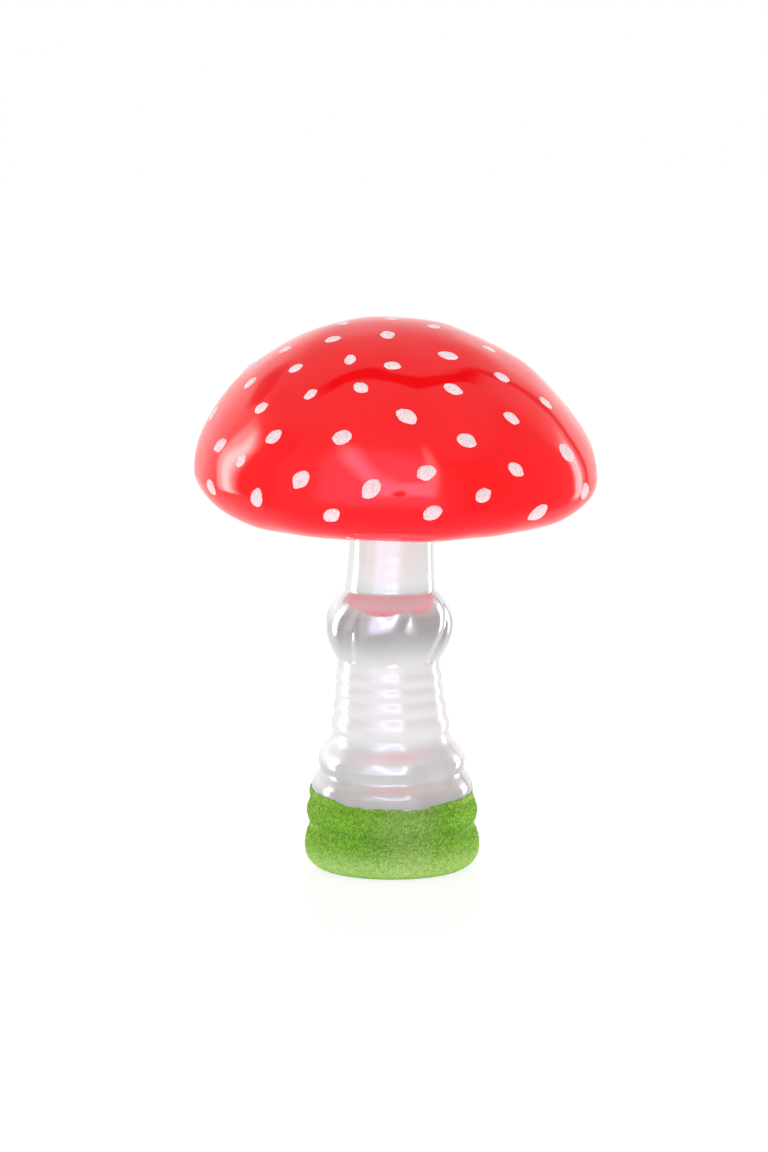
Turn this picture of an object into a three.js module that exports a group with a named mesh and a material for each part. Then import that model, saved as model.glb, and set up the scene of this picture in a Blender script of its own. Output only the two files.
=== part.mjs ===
// Standing glass mushroom: a blown red cap with raised white dots, glued on a blown silvered stem whose foot
// wears a coat of green glitter. Millimetres, +Z up, the front towards -Y.
// The origin is the middle of the flat face that the coat stands on.
import * as THREE from "three";

// Glass and fits
const GLASS_WALL = 1.3;
const FIT_GAP = 0.3; // air between two pieces that touch

// Cap
const CAP_RADIUS = 72.3; // at its widest line
const SHOULDER_RADIUS = 32.5; // of the outline just above the widest line
const SHOULDER_ANGLE = 29.5; // slope of the wall, off upright, where the dome goes over into the shoulder
const RIM_DEPTH = 16.6; // of the roll below the widest line
const RIM_REACH = 24; // of that roll, from the widest line in to the rim's lowest ring
const CAP_LIFT = 127; // the rim's lowest ring above the floor
const UNDERSIDE_RISE = 6; // from the rim's lowest ring up to the collar's mouth
const MOUTH_ROUND = 2;
const COLLAR_LENGTH = 13;

// How the blown glass strays from a true round: sideways, to the right, apart from the nod
const BUBBLE_NOD = 0.045; // the cap hangs lower by this share of the way to its front
const BUBBLE_SHIFT = 1.2; // of the whole cap outside its collar
const DOME_DRIFT = -0.065; // of the dome for each millimetre above the widest line
const DRIFT_START = 2; // height over which that drift sets in
const CORNER_SHIFT = 1.8; // of the rim between its widest line and its lowest ring
const STEM_SWAY = -1.3; // of the stem halfway between the coat and the cap

// Stem, from the foot up: height of each ring, radius at the crease above it and how far it swells between creases.
// A fullness below 1 makes a swell rounder, and a lift above 1 puts its widest line above the middle.
const FOOT_FLAT_RADIUS = 23.4;
const FOOT_ROUND = 7;
const FOOT_RING = { height: 8.4, radius: 28.4, swell: 0.6 };
const EDGE_RING = { height: 9.5, radius: 28.3, swell: 1.3 }; // the coat ends on it
const FULL_RING = { height: 10.2, radius: 25.6, swell: 1.9 };
const UPPER_FULL_RING = { height: 9.4, radius: 23.2, swell: 1.9 };
const HOLLOW_RING = { height: 4, radius: 20.7, swell: -0.4 };
const FIRST_FINE_RING = { height: 7.2, radius: 19.9, swell: 0.9 };
const SECOND_FINE_RING = { height: 5.8, radius: 19.2, swell: 0.6 };
const THIRD_FINE_RING = { height: 5.1, radius: 18.7, swell: 0.55 };
const FOURTH_FINE_RING = { height: 4.8, radius: 18.4, swell: 0.5 };
const PLAIN_RING = { height: 3.5, radius: 18.2, swell: 0 };
const SKIRT = { height: 25.2, radius: 16.2, swell: 6, fullness: 0.75, lift: 1.15 };
const FIRST_NECK_RING = { height: 4.3, radius: 15.8, swell: 0.12 };
const SECOND_NECK_RING = { height: 4.5, radius: 15.5, swell: 0.1 };
const THIRD_NECK_RING = { height: 4.6, radius: 15.2, swell: 0.08 };
const NECK_RADIUS = 14.9; // where the neck stands in the collar
const FLUTES = 7;
const FLUTE_DEPTH = 1.5; // of the folds halfway up the skirt
const FLUTE_FULLNESS = 0.7; // below 1 makes round lobes with narrow folds between them
const FLUTE_START = 0.4; // below 1 keeps the folds deep down to the skirt's lower end
const BLOW_HOLE_RADIUS = 5;
const PUNT_RADIUS = 11; // the hollow pressed into the underside of the foot
const PUNT_DEPTH = 2.2;

// Glue between the neck and the collar, and the plug of the blow hole
const GLUE_THICKNESS = 1;
const GLUE_BEAD = 2.5; // how far the bead shows below the collar's mouth
const BEAD_WRAP = 60; // how far the bead follows the round of that mouth
const PLUG_REACH = 5; // of its shank beyond the glass

// Glitter coat on the foot
const COAT_THICKNESS = 0.8;
const COAT_EDGE = 29.3; // height of its upper edge at the back
const FRONT_DIP = 3.5; // of that edge at the front
const EDGE_SLANT = 0.4; // higher on the left
const EDGE_WAVE = 0.5;
const EDGE_WAVES = 5;
const EDGE_WAVE_TURN = 96; // a crest stands this far to the left of the front

// Dots. Each row is one dab as the front view shows it: how far to the right of the cap's middle and how far above
// the level line, both as shares of the cap's radius, then its length and how far its right end is turned up.
const EYE_DISTANCE = 1780; // of the eye that sees this front view
const EYE_HEIGHT = 356;
const LAYOUT_LIFT = 0.8; // of the layout's level line above the widest line
const DRAW_IN_STEP = 0.01; // a dab aimed just past the outline is drawn in by such shares until it lands
const DAB_WIDTH_SHARE = 0.75; // of its length
const DAB_HEIGHT = 0.6;
const DAB_SHOULDER = { reach: 0.7, height: 0.75 }; // shares of its half width and of its height
const DAB_COUNT = 55;
const BACK_TURN = 188; // the back repeats the front's layout after this turn
const BACK_SPACING = 19; // and leaves out each dab that would come nearer than this to another
const FRONT_DABS = [
  [-0.01, 0.755, 6, 0],
  [-0.26, 0.73, 6, 0],
  [0.19, 0.716, 6, 0],
  [0.31, 0.7, 5.5, 0],
  [-0.04, 0.676, 6.8, 90],
  [-0.31, 0.649, 6, 40],
  [0.465, 0.607, 5.8, -40],
  [-0.545, 0.6, 5.5, 40],
  [0.26, 0.573, 7.2, -30],
  [-0.226, 0.548, 5.8, -80],
  [-0.015, 0.519, 6.1, -8],
  [-0.497, 0.507, 5.6, 45],
  [0.526, 0.465, 6.6, -35],
  [-0.72, 0.433, 6, 60],
  [-0.173, 0.408, 6, -35],
  [0.285, 0.403, 7.2, -40],
  [-0.422, 0.379, 5.4, 60],
  [0.744, 0.335, 6.4, -50],
  [-0.668, 0.309, 6, 30],
  [-0.9, 0.281, 6, 80],
  [0.053, 0.266, 7.9, -38],
  [0.575, 0.258, 6.6, -42],
  [-0.605, 0.165, 7, 36],
  [-0.267, 0.161, 7.4, 18],
  [0.353, 0.148, 7.4, -18],
  [-0.87, 0.124, 7, 30],
  [0.849, 0.086, 9, -30],
  [-0.773, 0.046, 5.4, 50],
  [0.597, 0.002, 6.6, -34],
  [0.151, -0.014, 7.4, 18],
  [-0.471, -0.049, 7.6, 42],
  [-0.916, -0.089, 7.6, -25],
  [-0.124, -0.097, 7.9, 48],
  [0.942, -0.11, 8, 15],
  [0.435, -0.128, 6.4, 28],
  [-0.694, -0.143, 7.8, 60],
  [0.183, -0.218, 7.2, 30],
  [0.71, -0.22, 9, 20],
  [-0.318, -0.23, 7, 34],
];

// Colours
const SILVER = 0xe4e1e6;
const RED = 0xd3141f;
const GLUE = 0xd9d2c0;
const GREEN = 0x5fa62c;
const CORK = 0xb08a5e;
const WHITE = 0xf2eeec;

// How finely the curves are cut
const CAP_OUTSIDE_STEPS = { dome: 11, shoulder: 4, rim: 7, underside: 4, mouth: 3 };
const CAP_INSIDE_STEPS = { dome: 6, shoulder: 2, rim: 4, underside: 2, mouth: 1 };
const CAP_SEGMENTS = 44;
const STEM_SEGMENTS = 6 * FLUTES;
const SMALL_SEGMENTS = 30;
const DAB_SEGMENTS = 9;
const OUTER_STEP = 2.3; // along the stem's outside
const INNER_STEP = 9; // along its inside
const FOOT_STEPS = 5;
const BEAD_STEPS = 4;
const COAT_RING_STEPS = 4;

// Heights and radii that follow
const radians = THREE.MathUtils.degToRad;
const footBottom = COAT_THICKNESS + FIT_GAP;
const footTop = footBottom + FOOT_ROUND;
const footTopRadius = FOOT_FLAT_RADIUS + FOOT_ROUND;
const widestLevel = CAP_LIFT + RIM_DEPTH;
const mouthLevel = CAP_LIFT + UNDERSIDE_RISE;
const collarTop = mouthLevel + COLLAR_LENGTH;
const jointBottom = mouthLevel - GLUE_BEAD - FIT_GAP;
const glueInner = NECK_RADIUS + FIT_GAP;
const glueOuter = glueInner + GLUE_THICKNESS;
const collarBore = glueOuter + FIT_GAP;
const mouthCentre = collarBore + MOUTH_ROUND;
const shoulderCentre = CAP_RADIUS - SHOULDER_RADIUS;
const rimCentre = CAP_RADIUS - RIM_REACH;
const domeRadius = SHOULDER_RADIUS + shoulderCentre / Math.cos(radians(SHOULDER_ANGLE));
const domeCentre = widestLevel - shoulderCentre * Math.tan(radians(SHOULDER_ANGLE));

// The stem's rings with their places: each runs from bottom to top and from one crease radius to the next
const stemRings = [];
function addRing({ height, radius, swell, fullness = 1, lift = 1 }) {
  const below = stemRings.at(-1) ?? { top: footTop, radius: footTopRadius };
  const bottom = below.top;
  stemRings.push({ height, radius, swell, fullness, lift, bottom, top: bottom + height, start: below.radius });
}
const lowerRings = [FOOT_RING, EDGE_RING, FULL_RING, UPPER_FULL_RING, HOLLOW_RING];
const fineRings = [FIRST_FINE_RING, SECOND_FINE_RING, THIRD_FINE_RING, FOURTH_FINE_RING, PLAIN_RING];
const neckRings = [FIRST_NECK_RING, SECOND_NECK_RING, THIRD_NECK_RING];
[...lowerRings, ...fineRings, SKIRT, ...neckRings].forEach(addRing);
addRing({ height: jointBottom - stemRings.at(-1).top, radius: NECK_RADIUS, swell: 0 });
addRing({ height: collarTop - jointBottom, radius: NECK_RADIUS, swell: 0 });
const skirtIndex = lowerRings.length + fineRings.length;

function arc(centreX, centreY, radius, from, to, steps, upright = radius) {
  return Array.from({ length: steps + 1 }, (_, step) => {
    const angle = radians(from + ((to - from) * step) / steps);
    return new THREE.Vector2(centreX + radius * Math.cos(angle), centreY + upright * Math.sin(angle));
  });
}

// How far the folds between the skirt's lobes are drawn in, at an angle from the front and a share of its height:
// deepest low down, less above, nothing at both ends
function foldDepth(angle, share) {
  const fold = 1 - Math.abs(Math.sin((FLUTES / 2) * angle)) ** FLUTE_FULLNESS;
  return 2 * FLUTE_DEPTH * fold * Math.sin(Math.PI * share) ** FLUTE_START * (1 - share);
}

// The outside radius of one ring at a share of its height
function ringRadiusAt(ring, share, angle) {
  const line = THREE.MathUtils.lerp(ring.start, ring.radius, share);
  const folded = ring === stemRings[skirtIndex] ? foldDepth(angle, share) : 0;
  return line + ring.swell * Math.sin(Math.PI * share ** ring.lift) ** ring.fullness - folded;
}

function stemRadius(level, angle) {
  const ring = stemRings.find((candidate) => level <= candidate.top);
  return ringRadiusAt(ring, (level - ring.bottom) / ring.height, angle);
}

// Outside of the stem at one angle, from the neck's top down to the blow hole
function stemOutline(angle, step) {
  const points = [];
  for (const ring of [...stemRings].reverse()) {
    const steps = ring.swell === 0 ? 1 : Math.max(1, Math.round(ring.height / step));
    for (let index = steps; index > 0; index--) {
      const share = index / steps;
      points.push(new THREE.Vector2(ringRadiusAt(ring, share, angle), ring.bottom + share * ring.height));
    }
  }
  points.push(
    ...arc(FOOT_FLAT_RADIUS, footTop, FOOT_ROUND, 0, -90, FOOT_STEPS),
    new THREE.Vector2(PUNT_RADIUS + PUNT_DEPTH, footBottom),
    new THREE.Vector2(PUNT_RADIUS, footBottom + PUNT_DEPTH),
    new THREE.Vector2(BLOW_HOLE_RADIUS, footBottom + PUNT_DEPTH),
  );
  return points;
}

// An outline that runs down the outside, moved into the glass by a depth
function movedIn(outline, depth) {
  return outline.map((point, index) => {
    const before = outline[Math.max(index - 1, 0)];
    const after = outline[Math.min(index + 1, outline.length - 1)];
    const along = after.clone().sub(before).normalize();
    return new THREE.Vector2(point.x + depth * along.y, point.y - depth * along.x);
  });
}

function stemShell(angle) {
  const outside = stemOutline(angle, OUTER_STEP);
  const inside = movedIn(stemOutline(angle, INNER_STEP), GLASS_WALL).reverse();
  return [...outside, ...inside, outside[0]];
}

// One face of the cap's glass, from the top of the dome round the rim and the underside to the collar's end
function capOutline(depth, steps) {
  const underside = Array.from({ length: steps.underside }, (_, index) => {
    const share = (index + 1) / (steps.underside + 1);
    const eased = (1 - Math.cos(Math.PI * share)) / 2;
    const radius = THREE.MathUtils.lerp(rimCentre, mouthCentre, share);
    return new THREE.Vector2(radius, CAP_LIFT + depth + UNDERSIDE_RISE * eased);
  });
  return [
    ...arc(0, domeCentre, domeRadius - depth, 90, SHOULDER_ANGLE, steps.dome),
    ...arc(shoulderCentre, widestLevel, SHOULDER_RADIUS - depth, SHOULDER_ANGLE, 0, steps.shoulder).slice(1),
    ...arc(rimCentre, widestLevel, RIM_REACH - depth, 0, -90, steps.rim, RIM_DEPTH - depth).slice(1),
    ...underside,
    ...arc(mouthCentre, mouthLevel + MOUTH_ROUND, MOUTH_ROUND - depth, -90, -180, steps.mouth),
    new THREE.Vector2(collarBore + depth, collarTop),
  ];
}

function capShell() {
  const inside = capOutline(GLASS_WALL, CAP_INSIDE_STEPS);
  return [...capOutline(0, CAP_OUTSIDE_STEPS), ...inside.reverse()];
}

function coatEdge(angle) {
  const dip = FRONT_DIP * Math.max(Math.cos(angle), 0);
  const wave = EDGE_WAVE * Math.cos(EDGE_WAVES * (angle + radians(EDGE_WAVE_TURN)));
  return COAT_EDGE - dip - EDGE_SLANT * Math.sin(angle) + wave;
}

// One face of the coat, from its middle underneath up to its edge
function coatFace(angle, distance) {
  const crease = stemRings[0].top;
  const levels = [];
  for (let step = 1; step <= COAT_RING_STEPS; step++) {
    levels.push(THREE.MathUtils.lerp(footTop, crease, step / COAT_RING_STEPS));
  }
  for (let step = 1; step <= COAT_RING_STEPS; step++) {
    levels.push(THREE.MathUtils.lerp(crease, coatEdge(angle), step / COAT_RING_STEPS));
  }
  return [
    new THREE.Vector2(0, footBottom - distance),
    ...arc(FOOT_FLAT_RADIUS, footTop, FOOT_ROUND + distance, -90, 0, FOOT_STEPS),
    ...levels.map((level) => new THREE.Vector2(stemRadius(level, angle) + distance, level)),
  ];
}

function mossCoat(angle) {
  return [...coatFace(angle, FIT_GAP), ...coatFace(angle, FIT_GAP + COAT_THICKNESS).reverse()];
}

function glueRing() {
  const beadEnd = 180 + BEAD_WRAP;
  const bead = arc(mouthCentre, mouthLevel + MOUTH_ROUND, MOUTH_ROUND + FIT_GAP, 180, beadEnd, BEAD_STEPS);
  const lowest = new THREE.Vector2(glueInner, mouthLevel - GLUE_BEAD);
  const top = new THREE.Vector2(glueInner, collarTop);
  return [top, new THREE.Vector2(glueOuter, collarTop), ...bead, lowest, top];
}

function footPlug() {
  const headRadius = PUNT_RADIUS - FIT_GAP;
  const headTop = footBottom + PUNT_DEPTH - FIT_GAP;
  const shankRadius = BLOW_HOLE_RADIUS - FIT_GAP;
  const shankTop = footBottom + PUNT_DEPTH + GLASS_WALL + PLUG_REACH;
  return [
    new THREE.Vector2(0, shankTop),
    new THREE.Vector2(shankRadius, shankTop),
    new THREE.Vector2(shankRadius, headTop),
    new THREE.Vector2(headRadius, headTop),
    new THREE.Vector2(headRadius, footBottom),
    new THREE.Vector2(0, footBottom),
  ];
}

// A dab of unit size: flat below, domed above
function dabOutline() {
  return [
    new THREE.Vector2(0, DAB_HEIGHT),
    new THREE.Vector2(DAB_SHOULDER.reach, DAB_SHOULDER.height * DAB_HEIGHT),
    new THREE.Vector2(1, 0),
    new THREE.Vector2(0, 0),
  ];
}

// A turned shape about +Z. Its outline runs down the outside, and may change with the angle from the front
function turned(outlineAt, segments) {
  const rows = outlineAt(0).length;
  const geometry = new THREE.LatheGeometry(outlineAt(0), segments);
  const places = geometry.attributes.position;
  for (let column = 0; column <= segments; column++) {
    const angle = (2 * Math.PI * column) / segments;
    outlineAt(angle).forEach((point, row) => {
      const x = point.x * Math.sin(angle);
      const y = -point.x * Math.cos(angle);
      places.setXYZ((column + 1) * rows - 1 - row, x, y, point.y);
    });
  }
  geometry.computeVertexNormals();
  return geometry;
}

// How a vertex of the cap strays; the collar stays true
function capStray(place) {
  const radius = Math.hypot(place.x, place.y);
  const height = place.z - widestLevel;
  if (radius <= mouthCentre && place.z <= collarTop + FIT_GAP) {
    return;
  }
  const reach = height > 0 ? 1 : THREE.MathUtils.smoothstep(radius, mouthCentre, rimCentre);
  const above = Math.max(height, 0);
  const sink = THREE.MathUtils.clamp(-height / RIM_DEPTH, 0, 1);
  // All of the corner's shift comes halfway round the rim, and none at its ends
  const corner = radius > rimCentre ? 2 * sink * Math.sqrt(1 - sink * sink) : 0;
  place.x += BUBBLE_SHIFT * reach + CORNER_SHIFT * corner;
  place.x += (DOME_DRIFT * above * above) / (above + DRIFT_START);
  place.z += BUBBLE_NOD * reach * place.y;
}

// How a vertex of the stem strays; it is true in the coat and in the joint
function stemStray(place) {
  const start = COAT_EDGE + EDGE_WAVE + EDGE_SLANT; // above the coat's edge all round
  const share = THREE.MathUtils.clamp((place.z - start) / (jointBottom - start), 0, 1);
  place.x += STEM_SWAY * Math.sin(Math.PI * share) ** 2;
}

function strayed(geometry, stray) {
  const places = geometry.attributes.position;
  const place = new THREE.Vector3();
  for (let index = 0; index < places.count; index++) {
    place.fromBufferAttribute(places, index);
    stray(place);
    places.setXYZ(index, ...place);
  }
  geometry.computeVertexNormals();
  return geometry;
}

const part = new THREE.Group();
part.name = "glass_mushroom";

function addMesh(name, geometry, colour, roughness, metalness = 0) {
  const mesh = new THREE.Mesh(geometry, new THREE.MeshStandardMaterial({ color: colour, roughness, metalness }));
  mesh.name = name;
  part.add(mesh);
  return mesh;
}

const stemGeometry = strayed(turned(stemShell, STEM_SEGMENTS), stemStray);
const capGeometry = strayed(turned(capShell, CAP_SEGMENTS), capStray);
addMesh("stem_shell", stemGeometry, SILVER, 0.12, 0.6);
const cap = addMesh("cap_shell", capGeometry, RED, 0.08);
addMesh("glue_ring", turned(glueRing, STEM_SEGMENTS), GLUE, 0.35);
addMesh("moss_coat", turned(mossCoat, STEM_SEGMENTS), GREEN, 0.8);
addMesh("foot_plug", turned(footPlug, SMALL_SEGMENTS), CORK, 0.8);

// Where one dab of the front view lands on the cap, after a turn about the middle
function landing([across, up, length, lean], turn) {
  const upright = new THREE.Vector3(0, 0, 1);
  const eye = new THREE.Vector3(0, -EYE_DISTANCE, EYE_HEIGHT).applyAxisAngle(upright, turn);
  const ray = new THREE.Raycaster();
  for (let share = 1; share > 0; share -= DRAW_IN_STEP) {
    const aim = new THREE.Vector3(across, 0, up).multiplyScalar(share * CAP_RADIUS).applyAxisAngle(upright, turn);
    aim.x += BUBBLE_SHIFT;
    aim.z += widestLevel + LAYOUT_LIFT;
    ray.set(eye, aim.sub(eye).normalize());
    const [hit] = ray.intersectObject(cap);
    if (hit) {
      const normal = hit.normal.clone();
      const outwards = hit.point.clone().sub(new THREE.Vector3(0, 0, domeCentre));
      if (normal.dot(outwards) < 0) {
        normal.negate(); // a grazing hit comes back facing in
      }
      return { point: hit.point, normal, length, lean };
    }
  }
  throw new Error("a dab misses the cap");
}

const dabs = FRONT_DABS.map((dab) => landing(dab, 0));
for (const dab of FRONT_DABS.map((row) => landing(row, radians(BACK_TURN)))) {
  const clear = dabs.every((other) => other.point.distanceTo(dab.point) >= BACK_SPACING);
  if (clear && dabs.length < DAB_COUNT) {
    dabs.push(dab);
  }
}

dabs.forEach(({ point, normal, length, lean }, index) => {
  const name = `dot_${String(index + 1).padStart(2, "0")}`;
  const dab = addMesh(name, turned(dabOutline, DAB_SEGMENTS), WHITE, 0.6);
  const level = new THREE.Vector3(0, 0, 1).cross(normal).normalize();
  const along = level.applyAxisAngle(normal, radians(lean));
  const across = new THREE.Vector3().crossVectors(normal, along);
  dab.quaternion.setFromRotationMatrix(new THREE.Matrix4().makeBasis(along, across, normal));
  dab.position.copy(point).addScaledVector(normal, FIT_GAP);
  dab.scale.set(length / 2, (DAB_WIDTH_SHARE * length) / 2, 1);
});

export default part;
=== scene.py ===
# Looks of a standing glass mushroom: a red lacquered cap with raised white dots on a silvered stem, whose
# foot wears a coat of green glitter. Metres, +Z up, the front towards -Y, the origin in the middle of the
# face that it stands on.
import math

import bpy
import numpy as np
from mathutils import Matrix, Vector, noise
from mathutils.bvhtree import BVHTree


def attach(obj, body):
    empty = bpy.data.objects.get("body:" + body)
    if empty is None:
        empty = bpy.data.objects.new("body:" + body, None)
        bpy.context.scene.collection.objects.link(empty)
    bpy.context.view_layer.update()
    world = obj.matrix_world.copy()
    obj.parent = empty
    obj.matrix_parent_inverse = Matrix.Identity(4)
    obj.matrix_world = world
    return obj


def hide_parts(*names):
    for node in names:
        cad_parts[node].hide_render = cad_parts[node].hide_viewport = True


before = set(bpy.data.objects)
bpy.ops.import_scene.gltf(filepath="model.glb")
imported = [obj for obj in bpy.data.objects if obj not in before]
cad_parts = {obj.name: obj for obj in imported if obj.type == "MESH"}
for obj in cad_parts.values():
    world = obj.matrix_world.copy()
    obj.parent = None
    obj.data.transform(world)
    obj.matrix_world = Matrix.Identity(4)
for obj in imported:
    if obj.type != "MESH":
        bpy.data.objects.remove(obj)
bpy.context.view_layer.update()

MM = 0.001
WELD = 0.01 * MM  # distance at which two points count as one

# Glass and fits, as in the solids
GLASS_WALL = 1.3 * MM
FIT_GAP = 0.3 * MM

# Cap
CAP_RADIUS = 72.3 * MM
SHOULDER_RADIUS = 32.5 * MM
SHOULDER_ANGLE = 29.5  # degrees above level, where the dome begins
RIM_DEPTH = 16.6 * MM
RIM_REACH = 24 * MM
CAP_LIFT = 127 * MM
UNDERSIDE_RISE = 6 * MM
MOUTH_ROUND = 2 * MM
COLLAR_LENGTH = 13 * MM
CAP_STEP = 1.2 * MM  # between the rows of its outline
CAP_COLUMNS = 180

# How the blown glass strays from a true round
BUBBLE_NOD = 0.045  # slope by which the cap hangs lower at the front
BUBBLE_SHIFT = 1.2 * MM
DOME_DRIFT = -0.065  # slope by which the dome leans to the left
DRIFT_START = 2 * MM  # height over which the lean sets in
CORNER_SHIFT = 1.8 * MM
STEM_SWAY = -1.3 * MM
RING_NOD = 0.07  # slope by which the big ring above the coat hangs lower at the front
NOD_START = (27 * MM, 36 * MM)
NOD_END = (44 * MM, 56 * MM)
CAP_LUMPS = [(24 * MM, 1.0 * MM), (12 * MM, 0.2 * MM)]  # size and depth
STEM_LUMPS = [(9 * MM, 0.22 * MM)]
LUMP_LEVEL = 0.9  # so that lumps go inwards, and stay within the solids

# Stem: height of each ring, radius at the crease above it, swell between creases, fullness of the swell, and
# a lift above 1 that puts the widest line above the middle
FOOT_FLAT_RADIUS = 23.4 * MM
FOOT_ROUND = 7 * MM
LOWER_RINGS = [
    (8.4, 28.4, 0.6, 1, 1),
    (9.5, 28.3, 1.3, 1, 1),
    (10.2, 25.6, 1.9, 1, 1),
    (9.4, 23.2, 1.9, 1, 1),
    (4, 20.7, -0.4, 1, 1),
    (7.2, 19.9, 0.9, 1, 1),
    (5.8, 19.2, 0.6, 1, 1),
    (5.1, 18.7, 0.55, 1, 1),
    (4.8, 18.4, 0.5, 1, 1),
    (3.5, 18.2, 0, 1, 1),
]
SKIRT = (25.2, 16.2, 6, 0.75, 1.15)
NECK_RINGS = [
    (4.3, 15.8, 0.07, 1, 1),
    (4.5, 15.5, 0.06, 1, 1),
    (4.6, 15.2, 0.05, 1, 1),
]
NECK_RADIUS = 14.9 * MM
FLUTES = 7
FLUTE_DEPTH = 1.5 * MM
FLUTE_FULLNESS = 0.7
FLUTE_START = 0.4
FLUTE_TURN = 4  # degrees, of the front fold's lower end towards the right
FLUTE_TWIST = 20  # degrees, of the folds from the skirt's lower edge to its upper one
BLOW_HOLE_RADIUS = 5 * MM
PUNT_RADIUS = 11 * MM
PUNT_DEPTH = 2.2 * MM
GLUE_THICKNESS = 1 * MM
GLUE_BEAD = 2.5 * MM
STEM_STEP = 0.6 * MM
PROFILE_STEP = STEM_STEP / 4
STEM_COLUMNS = 140
CREASE_SOFTNESS = 0.5 * MM  # over which a crease between two rings is rounded

# Glitter coat
COAT_THICKNESS = 0.8 * MM
COAT_EDGE = 29.3 * MM
FRONT_DIP = 3.1 * MM
EDGE_SLANT = 0.4 * MM
EDGE_WAVE = 0.5 * MM
EDGE_WAVES = 5
EDGE_WAVE_TURN = 96  # degrees
NOTCH_TURN = -41  # degrees from the front, where the edge steps up towards the left
NOTCH_REACH = 5  # degrees
NOTCH_FADE = (15, 40)  # degrees to each side, over which the step dies away
NOTCH_STEP = 2.0 * MM
EDGE_FRAY = 0.45 * MM
FRAY_WAVES = [(11, 1, 1), (26, 0, 1), (47, 2, 0.5)]  # number of waves, start and share
EDGE_TUCK = 3 * MM  # height over which the coat is drawn in to the glass
TUCK_SHARE = 0.85
GRAIN_STEP = 0.42 * MM
COAT_COLUMNS = 470
GRAIN_HEIGHT = 0.3 * MM
GRAIN_SEED = 5

# Dots
DAB_COLUMNS = 28
DAB_RINGS = 10
DAB_FOOT = -0.25  # of the dome's height, where it is cut flat
DAB_HEIGHT = 0.5 * MM
DAB_POINT = 0.12  # how much narrower its ends are than an oval's
DAB_EDGE = [(0.13, 1.3, 3.7), (0.05, 4.5, 5.3)]  # depth and number of its dents, and a step from dab to dab
DAB_SMOOTH_ANGLE = 50  # degrees
EXTRA_DOTS = 14
EXTRA_SPACING = 14.5 * MM
EXTRA_CLEAR = 8 * MM  # from the widest line
EXTRA_LENGTHS = (5.5 * MM, 7.5 * MM)
EXTRA_TURNS = (0.5, 1.5)  # of half a turn, from the front
EXTRA_LIFTS = (-0.35, 1.2)  # radians above the widest line
EXTRA_SEED = 11
DAB_WIDTH_SHARE = 0.75

NOISE_DETAIL = 2  # of the soft noise in every finish

# Red lacquer: its darkest and lightest red, and the red of the rim, made pinker as a painted reflection tint
REDS = ((0.90, 0.003, 0.006), (0.95, 0.006, 0.010))
RIM_REFLECTION_RED = (0.93, 0.006, 0.017)
LACQUER_IOR = 1.45

# Silvering up the stem, at heights in millimetres: its colour, and how much of it is metal. The colour is
# partly
# painted shade: darker next to the coat, in the crease below the big ring and on the skirt under the cap, and
# less red near the cap, painted against the red light that the cap throws
SILVER_AND_PAINTED_SHADE = [
    (24, (0.32, 0.32, 0.32)),
    (29, (0.40, 0.40, 0.40)),
    (32.5, (0.57, 0.58, 0.57)),
    (37.5, (0.53, 0.54, 0.54)),
    (40, (0.64, 0.66, 0.67)),
    (42.5, (0.70, 0.74, 0.75)),
    (45, (0.69, 0.73, 0.74)),
    (49, (0.69, 0.72, 0.73)),
    (72, (0.70, 0.73, 0.74)),
    (80, (0.68, 0.68, 0.68)),
    (85, (0.62, 0.62, 0.62)),
    (89, (0.55, 0.55, 0.55)),
    (93, (0.58, 0.58, 0.58)),
    (97, (0.57, 0.79, 0.82)),
    (101, (0.57, 0.82, 0.85)),
    (105, (0.71, 0.89, 0.89)),
    (130, (0.72, 0.93, 0.92)),
]
METAL = [
    (30, 0.03),
    (37, 0.10),
    (40, 0.26),
    (45, 0.26),
    (48, 0.05),
    (75, 0.05),
    (82.5, 0.50),
    (86, 0.66),
    (93, 0.66),
    (97, 0.24),
    (101, 0.10),
    (107, 0.04),
    (116, 0.11),
]
THIN_RINGS = (48 * MM, 77 * MM, 2 * MM)  # from, to and softness, where the shine is blurred and weaker
SMOOTH_RING = (41 * MM, 48 * MM, 2 * MM)  # the ring below them, where it is blurred most
MOTTLED_SILVER = (0.95, 0.95, 0.95)
PINHOLES = 150  # cells to the metre, of which some hold a dark speck
PINHOLE_GREY = (0.3, 0.29, 0.3)

# Green glitter
GREENS = [
    (0.0, (0.022, 0.11, 0.005)),
    (0.45, (0.115, 0.31, 0.016)),
    (0.8, (0.26, 0.52, 0.04)),
    (1.0, (0.60, 0.88, 0.22)),
]
FRONT_PATCH_GREENS = ((0.12, 0.24, 0.05), (0.36, 0.50, 0.17))
TABLE_LIT_GREENS = ((0.36, 0.65, 0.13), (0.74, 0.93, 0.42))
GREEN_SHEEN = (0.6, 0.95, 0.2, 1)
GREEN_GRAINS = 1700  # to the metre
GROOVE_HALF = 1.5 * MM
GROOVE_SOFT = 2 * MM
FRONT_PATCH_SPAN = (-7 * MM, 14 * MM, 7 * MM)  # from the left to the right, and softness
FRONT_PATCH_END = (-20 * MM, 0)  # depth over which the patch on the front ends
TABLE_LIT_END = 3 * MM  # below the groove

# White glitter on the lowest dots, painted darker as shade, and on the highest, then glue and cork
LOW_SHADED_WHITES = ((0.65, 0.455, 0.49), (0.84, 0.605, 0.64))
HIGH_WHITES = ((0.84, 0.60, 0.63), (1.0, 0.81, 0.83))
WHITE_GRAINS = 1900  # to the metre
GRAIN_BUMP = 0.1 * MM
GLUE_COLOURS = ((0.62, 0.56, 0.44), (0.78, 0.74, 0.64))
CORK_COLOURS = ((0.20, 0.10, 0.04), (0.50, 0.31, 0.15))
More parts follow.
